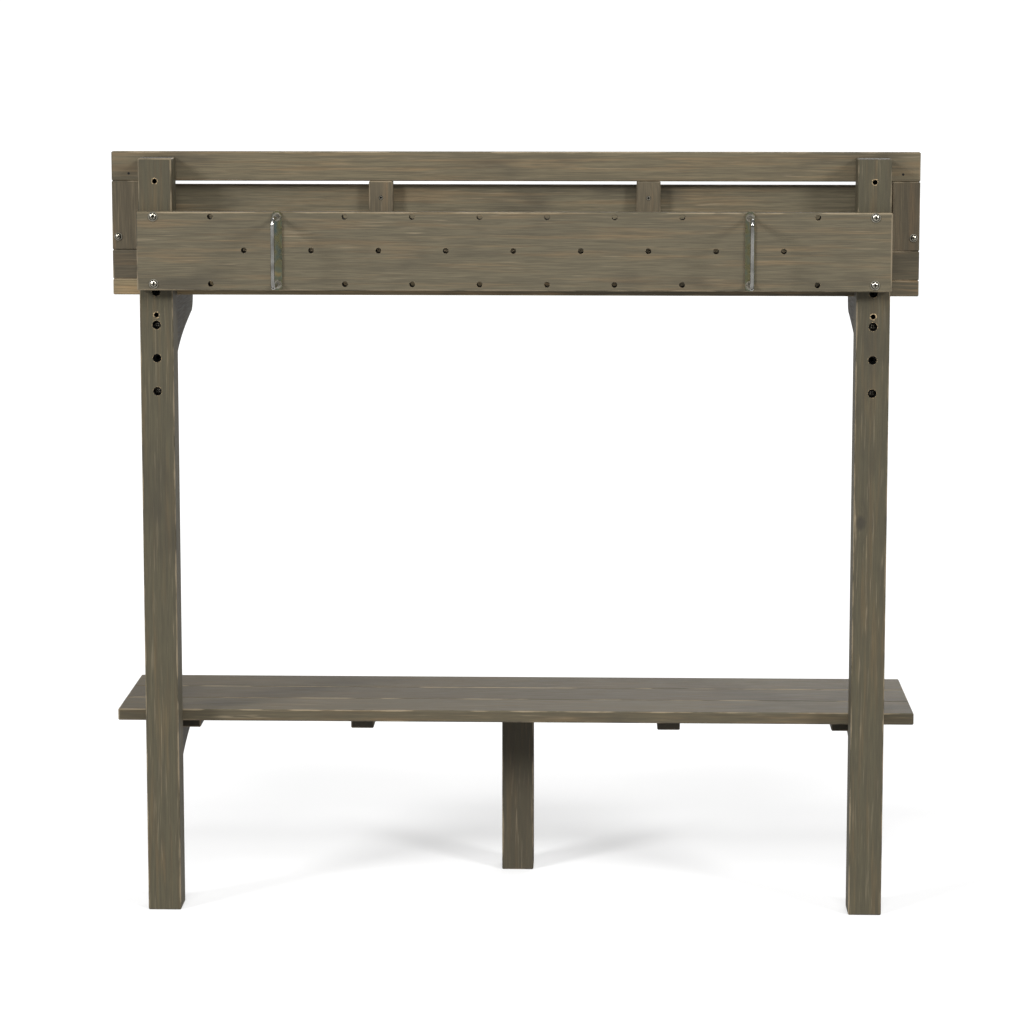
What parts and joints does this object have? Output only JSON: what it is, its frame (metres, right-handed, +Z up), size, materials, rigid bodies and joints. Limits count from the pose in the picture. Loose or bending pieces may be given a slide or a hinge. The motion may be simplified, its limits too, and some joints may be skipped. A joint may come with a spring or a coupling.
{
  "type": "potting bench",
  "caption": "Stained wooden potting bench with a walled worktop on curved brackets, a low shelf, and a drilled board at the back with U-bolts for a rail.",
  "frame": {"origin": "on the floor under the middle of the bench's outline", "axes": "+X along the bench, +Y from the back posts to the working side, +Z up"},
  "size_m": [1.22, 0.448, 1.158],
  "materials": {
    "stained_wood": "grey-brown stained softwood, satin",
    "dowel_wood": "plain beech",
    "zinc_steel": "bright zinc plating",
    "passivated_steel": "yellow passivated zinc"
  },
  "bodies": {
    "root": {"post_left": "stained_wood", "post_right": "stained_wood", "centre_leg": "stained_wood", "shelf_board_back": "stained_wood", "shelf_board_middle": "stained_wood", "shelf_board_front": "stained_wood", "shelf_batten_outer_left": "stained_wood", "shelf_batten_inner_left": "stained_wood", "shelf_batten_inner_right": "stained_wood", "shelf_batten_outer_right": "stained_wood", "shelf_bracket_left": "stained_wood", "shelf_bracket_right": "stained_wood", "worktop_bracket_left": "stained_wood", "worktop_bracket_right": "stained_wood", "worktop_board_back": "stained_wood", "worktop_board_middle": "stained_wood", "worktop_board_front": "stained_wood", "back_top_rail": "stained_wood", "back_bottom_rail": "stained_wood", "back_end_stile_left": "stained_wood", "back_end_stile_right": "stained_wood", "back_stile_left": "stained_wood", "back_stile_right": "stained_wood", "back_panel": "stained_wood", "end_wall_left": "stained_wood", "end_wall_right": "stained_wood", "rail_board": "stained_wood", "back_frame_dowels": "dowel_wood", "leg_dowels": "dowel_wood", "worktop_edge_dowels": "dowel_wood", "shelf_bracket_dowels": "dowel_wood", "u_bolt_plate_left": "passivated_steel", "u_bolt_plate_right": "passivated_steel", "u_bolt_left": "zinc_steel", "u_bolt_right": "zinc_steel", "u_bolt_outer_nuts": "zinc_steel", "u_bolt_inner_nuts": "zinc_steel", "rail_board_screws": "zinc_steel", "rail_board_washers": "zinc_steel", "worktop_bracket_screws": "zinc_steel", "end_wall_screws": "zinc_steel", "end_wall_washers": "zinc_steel", "panel_screws": "zinc_steel", "shelf_batten_screws": "zinc_steel", "shelf_bracket_screws": "zinc_steel", "worktop_screws": "zinc_steel"}
  },
  "joints": []
}
